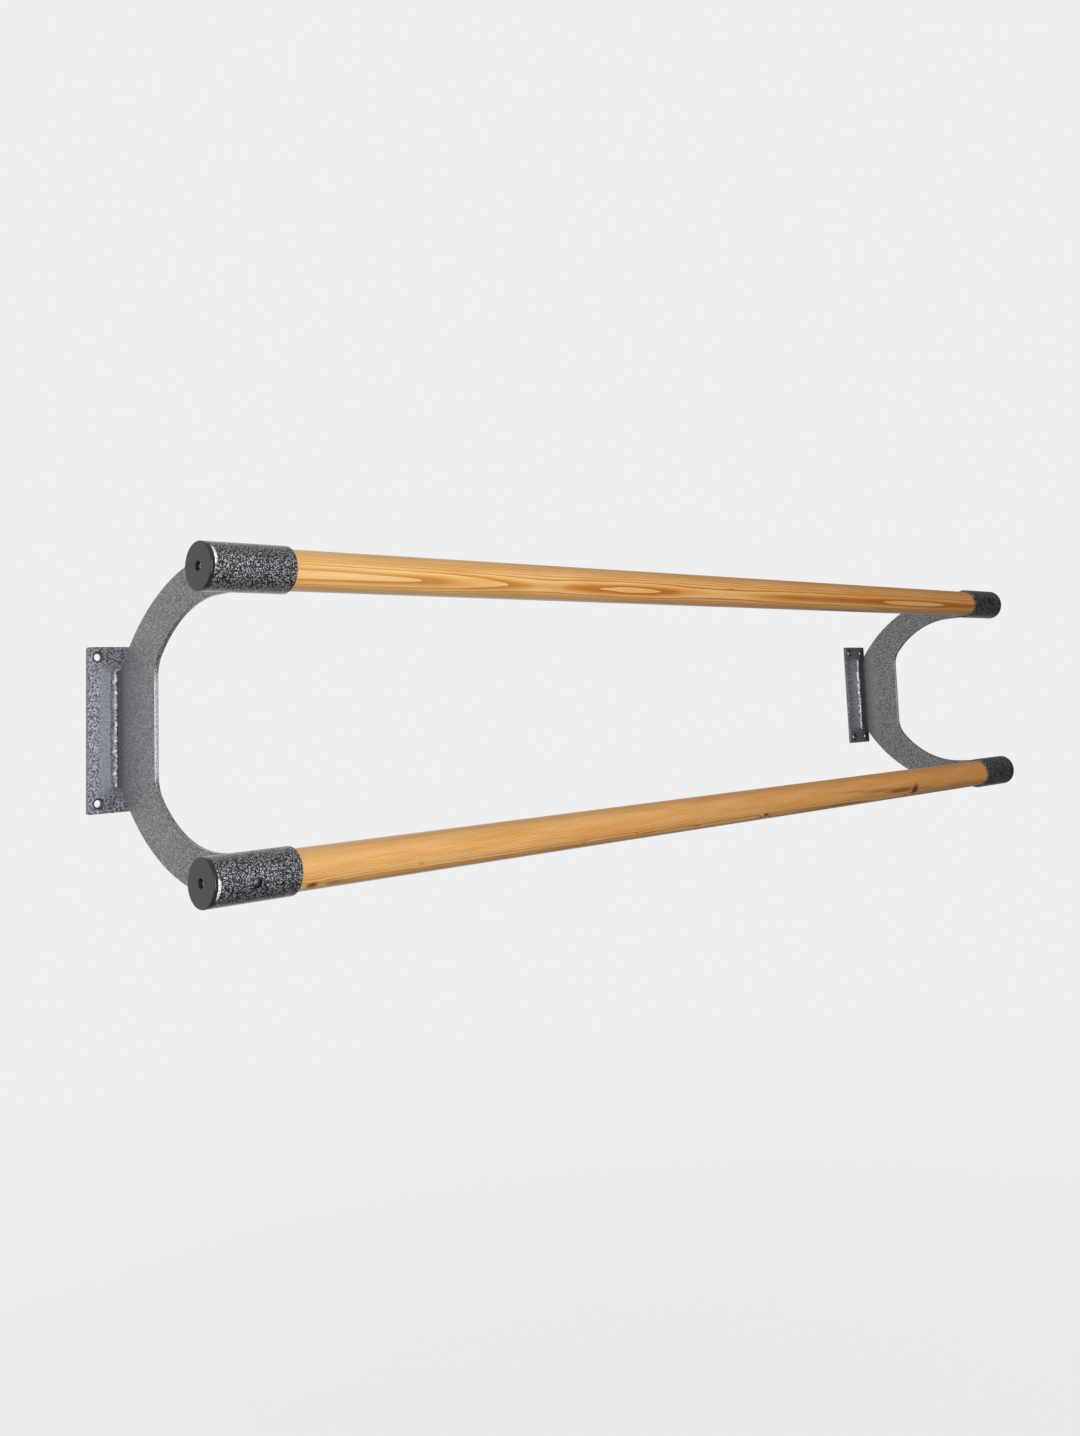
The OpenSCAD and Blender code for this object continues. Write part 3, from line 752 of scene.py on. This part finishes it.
def make_curved_plate(side):
    """A flat C with softened edges: a rounded section carried round the C.

    Each section spans the straight line from the inner to the outer edge. Where it would enter
    a sleeve it is pushed out to the middle of the sleeve's wall.
    """
    edge_r, edge_steps, face_steps = 0.9 * MM, 6, 13
    half_t = CURVED_T / 2
    stretches = zip(EDGE_BREAKS, EDGE_BREAKS[1:], EDGE_STEPS)
    u = np.concatenate([np.linspace(a, b, n, endpoint=False) for a, b, n in stretches] + [[1.0]])
    half_in, half_out = throat_edge(u), outer_edge(u)
    flip = np.array([1, -1])
    inner = np.concatenate([half_in, half_in[-2::-1] * flip])
    outer = np.concatenate([half_out, half_out[-2::-1] * flip])
    t = np.linspace(0, math.pi / 2, edge_steps)
    round_out = edge_r * (1 - np.cos(t))
    round_x = half_t - edge_r * (1 - np.sin(t))
    face_share = np.linspace(0.05, 0.95, face_steps)
    none = np.zeros(len(face_share))
    # The section as (share of the width, offset from there, x), round from the inner edge
    share = np.concatenate([0 * t, face_share, 0 * t + 1, 0 * t + 1, face_share[::-1], 0 * t])
    offset = np.concatenate([round_out, none, -round_out[::-1], -round_out, none, round_out[::-1]])
    x = np.concatenate([round_x, none + half_t, round_x[::-1], -round_x, none - half_t,
                        -round_x[::-1]])
    width = np.linalg.norm(outer - inner, axis=1, keepdims=True)
    across = (outer - inner) / width
    yz = inner[:, None] + (width * share + offset)[..., None] * across[:, None]
    for level in (UPPER, LOWER):
        axis = np.array([-REACH, level * HALF_SPACING])
        away = yz - axis
        r = np.linalg.norm(away, axis=-1, keepdims=True)
        yz = axis + away * np.maximum(1, (SLEEVE_R - SLEEVE_WALL / 2) / r)
    points = np.concatenate([np.broadcast_to(side * CURVED_X + x, yz.shape[:2])[..., None], yz], -1)
    # The last section at each end closes flat on the plate's middle
    closing = points[[0, -1]].copy()
    closing[..., 0] = side * CURVED_X
    points = np.concatenate([closing[:1], points, closing[1:]])
    name = "curved_plate_" + SIDE_NAME[side]
    make_piece("painted_" + name, points, False, True, plate_paint, [name])


# Wall plates

def make_wall_plate(side):
    """A merged copy of the plate's own mesh, whose sharp edges a bevel rounds."""
    name = "wall_plate_" + SIDE_NAME[side]
    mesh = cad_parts[name].data.copy()
    work = bmesh.new()
    work.from_mesh(mesh)
    bmesh.ops.remove_doubles(work, verts=work.verts, dist=FINE_DIST)
    bmesh.ops.dissolve_limit(work, angle_limit=math.radians(1), verts=work.verts, edges=work.edges)
    work.to_mesh(mesh)
    work.free()
    mesh.name = "painted_" + name
    piece = finish_piece("painted_" + name, mesh, wall_paint, [name],
                         SHARP_DEG)
    bevel = piece.modifiers.new("softened edges", "BEVEL")
    bevel.width = 0.8 * MM
    bevel.segments = 3
    bevel.limit_method = "ANGLE"
    bevel.angle_limit = math.radians(50)
    shading = piece.modifiers.new("flat faces stay flat", "WEIGHTED_NORMAL")
    shading.keep_sharp = True


# Welds

# Where the seeds of the beads' wander start
PLATE_WELD_SEED, SLEEVE_WELD_SEED = 20, 40


def make_plate_weld(side, seed):
    """The bead round the foot of a curved plate, along a stadium of the plate's thickness.

    Towards the foot's ends it grows thinner, by the square of how near they are.
    """
    half_t = CURVED_T / 2
    half_l = FOOT_HALF - half_t
    end_leg, taper_l = WELD_HALF_L - FOOT_HALF, 14 * MM
    count, height_share = 480, 0.94
    side_l, end_l = 2 * half_l, math.pi * half_t
    length = 2 * (side_l + end_l)
    s = np.linspace(0, length, count, endpoint=False)
    lap = s % (side_l + end_l)
    turn = np.clip((lap - side_l) / half_t, 0, math.pi)
    second = np.where(s >= side_l + end_l, -1.0, 1.0)
    z = half_l - np.minimum(lap, side_l)
    out = second[:, None] * np.stack([-np.cos(turn), 0 * turn, -np.sin(turn)], -1)
    foot = half_t * out
    foot[:, 2] += second * z
    foot += np.array([side * CURVED_X, -WALL_PLATE_T, 0])
    up = np.broadcast_to(np.array([0.0, -1.0, 0.0]), foot.shape)
    near_end = np.clip((abs(foot[:, 2]) - half_l) / taper_l + 1, 0, 1)
    width = WELD_FOOT + (end_leg - WELD_FOOT) * near_end ** 2
    height = np.full(count, WELD_LEG * height_share)
    points = bead(foot, out, up, width, height, length, seed)
    name = "plate_weld_" + SIDE_NAME[side]
    make_piece("bead_" + name, points, True, True, bead_paint, [name],
               BEAD_SHARP_DEG)


def make_sleeve_weld(side, level, face, seed):
    """The bead on one face of a curved plate, round the part of a sleeve that it meets.

    Its legs grow by a square root over the first twelfth of it and fall so over the last.
    """
    count, taper_parts, leg_share = 150, 12, 0.88
    low = -math.asin((SLEEVE_R - THROAT_LAP) / SLEEVE_R) + SLEEVE_WELD_STOP
    high = MEET_ANGLE - SLEEVE_WELD_STOP
    a = np.linspace(low, high, count)
    length = SLEEVE_R * (high - low)
    radial = np.stack([0 * a, np.cos(a), level * np.sin(a)], -1)
    middle = np.array([side * CURVED_X + face * CURVED_T / 2, -REACH, level * HALF_SPACING])
    foot = SLEEVE_R * radial + middle
    up = np.broadcast_to(np.array([float(face), 0.0, 0.0]), foot.shape)
    from_start = np.linspace(0, taper_parts, count)
    ends = np.minimum(from_start, from_start[::-1])
    leg = SLEEVE_WELD_LEG * leg_share * np.sqrt(np.clip(ends, 0, 1))
    points = bead(foot, radial, up, leg, leg, length, seed)
    kind = "outer_weld" if face == side else "inner_weld"
    name = end_name(kind, side, level)
    make_piece("bead_" + name, points, False, True, weld_paint, [name],
               BEAD_SHARP_DEG)


for side in (LEFT, RIGHT):
    make_curved_plate(side)
    make_wall_plate(side)
    make_plate_weld(side, PLATE_WELD_SEED + side)
for k, (side, level) in enumerate(ENDS):
    for face in (-1, 1):
        make_sleeve_weld(side, level, face, SLEEVE_WELD_SEED + 10 * k + face)


# Studio: a pale floor and ground, a dim room behind the camera and one soft lamp

PALE = colour("#efefef")
FLOOR_Z, FLOOR_HALF = -1.2, 12.0
FLOOR_PAINT = colour("#5f5f5f")
WALL_GLOW, ROOM_GLOW, TOP_GLOW = 0.9, 0.07, 0.55
# What is left of the light and of the mirrored ground far along the barres
SKY_FAR_SHARE, FLOOR_FAR_SHARE = 0.2, 0.4
# How much of the ground's paleness the floor keeps in the shadow below the object
SHADOW_SHARE = 0.93
LAMP_AIM = (-0.4, -0.25, 0.0)
KEY_PLACE, KEY_SIZE, KEY_WATTS = (-1.0, -1.8, 0.0), 1.6, 42


def pale_share(tree, wall_side):
    """How much of a ray sees the pale ground: all of a camera ray, and as much of a glossy or
    transmitted ray as it goes to the wall's side, where that ground stands behind the object."""
    ray = put(tree, "ShaderNodeLightPath")
    mirrored = put(tree, "ShaderNodeMath", LARGER,
                   [ray.outputs["Is Glossy Ray"], ray.outputs["Is Transmission Ray"]])
    behind = put(tree, "ShaderNodeMath", TIMES, [mirrored, wall_side])
    return put(tree, "ShaderNodeMath", LARGER, [ray.outputs["Is Camera Ray"], behind])


def make_world():
    """Light by direction: a pale wall on the object's far side, a dim room, a brighter ceiling."""
    world = bpy.data.worlds.new("studio")
    bpy.context.scene.world = world
    world.use_nodes = True
    tree = world.node_tree
    tree.nodes.clear()
    direction = put(tree, "ShaderNodeTexCoord")
    x, y, z = put(tree, "ShaderNodeSeparateXYZ", {}, [direction.outputs["Generated"]]).outputs
    wall = put(tree, "ShaderNodeMapRange", EASED, [y, -0.2, 0.85, ROOM_GLOW, WALL_GLOW])
    top = put(tree, "ShaderNodeMapRange", EASED, [z, 0.0, 1.0, 0.0, TOP_GLOW])
    brighter = put(tree, "ShaderNodeMath", LARGER, [wall, top])
    far = put(tree, "ShaderNodeMapRange", EASED, [x, 0.4, 0.95, 1.0, SKY_FAR_SHARE])
    glow = put(tree, "ShaderNodeMath", TIMES, [brighter, far])
    behind = put(tree, "ShaderNodeMapRange", EASED, [y, 0.5, 0.9])
    share = pale_share(tree, put(tree, "ShaderNodeMath", TIMES, [far, behind]))
    sky = put(tree, "ShaderNodeMix", BLEND, {"Factor": share, "A": glow, "B": PALE})
    light = put(tree, "ShaderNodeBackground", {}, {"Color": sky})
    put(tree, "ShaderNodeOutputWorld", {}, {"Surface": light})


def make_floor():
    """A plain floor that shows as pale as the ground, but for a soft shadow below the object."""
    mesh = bpy.data.meshes.new("floor")
    corners = [(x * FLOOR_HALF, y * FLOOR_HALF, FLOOR_Z)
               for x, y in ((-1, -1), (1, -1), (1, 1), (-1, 1))]
    mesh.from_pydata(corners, [], [(0, 1, 2, 3)])
    floor = bpy.data.objects.new("floor", mesh)
    bpy.context.scene.collection.objects.link(floor)
    material, tree = new_material("matt_floor_paint")
    place = put(tree, "ShaderNodeTexCoord").outputs["Object"]
    parts = put(tree, "ShaderNodeSeparateXYZ", {}, [place])
    flat = put(tree, "ShaderNodeVectorMath", TIMES, [place, (1.0, 1.0, 0.0)])
    away = put(tree, "ShaderNodeVectorMath", LENGTH, [flat])
    shadow = put(tree, "ShaderNodeMapRange", EASED, [away, 0.5, 3.5, SHADOW_SHARE, 1.0])
    heading = put(tree, "ShaderNodeVectorMath", {"operation": "NORMALIZE"}, [flat])
    along_barres = put(tree, "ShaderNodeSeparateXYZ", {}, [heading]).outputs["X"]
    far = put(tree, "ShaderNodeMapRange", EASED, [along_barres, 0.76, 0.9, 1.0, FLOOR_FAR_SHARE])
    behind = put(tree, "ShaderNodeMapRange", EASED, [parts.outputs["Y"], 0.0, 1.5])
    share = pale_share(tree, put(tree, "ShaderNodeMath", TIMES, [far, behind]))
    shaded = put(tree, "ShaderNodeMath", TIMES, [shadow, share])
    paint = put(tree, "ShaderNodeBsdfDiffuse", {}, {"Color": FLOOR_PAINT})
    ground = put(tree, "ShaderNodeEmission", {}, {"Color": PALE, "Strength": 1.0})
    both = put(tree, "ShaderNodeMixShader", {}, [shaded, paint, ground])
    put(tree, "ShaderNodeOutputMaterial", {}, {"Surface": both})
    mesh.materials.append(material)


def make_softbox(name, place, aim, size, watts):
    """A square soft lamp turned towards a point."""
    lamp = bpy.data.lights.new(name, "AREA")
    lamp.shape = "SQUARE"
    lamp.size = size
    lamp.energy = watts
    holder = bpy.data.objects.new(name, lamp)
    bpy.context.scene.collection.objects.link(holder)
    holder.location = place
    holder.rotation_euler = (Vector(aim) - Vector(place)).to_track_quat("-Z", "Y").to_euler()


make_world()
make_floor()
make_softbox("key_softbox", KEY_PLACE, LAMP_AIM, KEY_SIZE, KEY_WATTS)


# Camera: the photograph's place, turn and framing

PICTURE_H = 1436
FOCAL_PX = 1356.58
CENTRE_SHIFT_PX = (189.17, -164.39)
CAMERA_PLACE = (-1.42667, -1.4609, -0.01402)
YAW, PITCH, ROLL = math.radians(50.69), math.radians(6.53), math.radians(-3.10)


def make_camera():
    """Looks along yaw (from +Y towards +X) and pitch, then rolls; the shift sets the framing."""
    ahead = Vector((math.sin(YAW) * math.cos(PITCH), math.cos(YAW) * math.cos(PITCH),
                    math.sin(PITCH)))
    level_right = Vector((math.cos(YAW), -math.sin(YAW), 0))
    level_up = level_right.cross(ahead)
    right = math.cos(ROLL) * level_right + math.sin(ROLL) * level_up
    up = math.cos(ROLL) * level_up - math.sin(ROLL) * level_right
    lens = bpy.data.cameras.new("camera")
    lens.sensor_width = 36
    lens.lens = FOCAL_PX / PICTURE_H * lens.sensor_width
    lens.shift_x = -CENTRE_SHIFT_PX[0] / PICTURE_H
    lens.shift_y = CENTRE_SHIFT_PX[1] / PICTURE_H
    lens.clip_start = 0.05
    lens.clip_end = 100
    camera = bpy.data.objects.new("camera", lens)
    bpy.context.scene.collection.objects.link(camera)
    turn = Matrix((right, up, -ahead)).transposed().to_4x4()
    camera.matrix_world = Matrix.Translation(CAMERA_PLACE) @ turn
    bpy.context.scene.camera = camera


make_camera()
bpy.context.scene.view_settings.view_transform = "Standard"
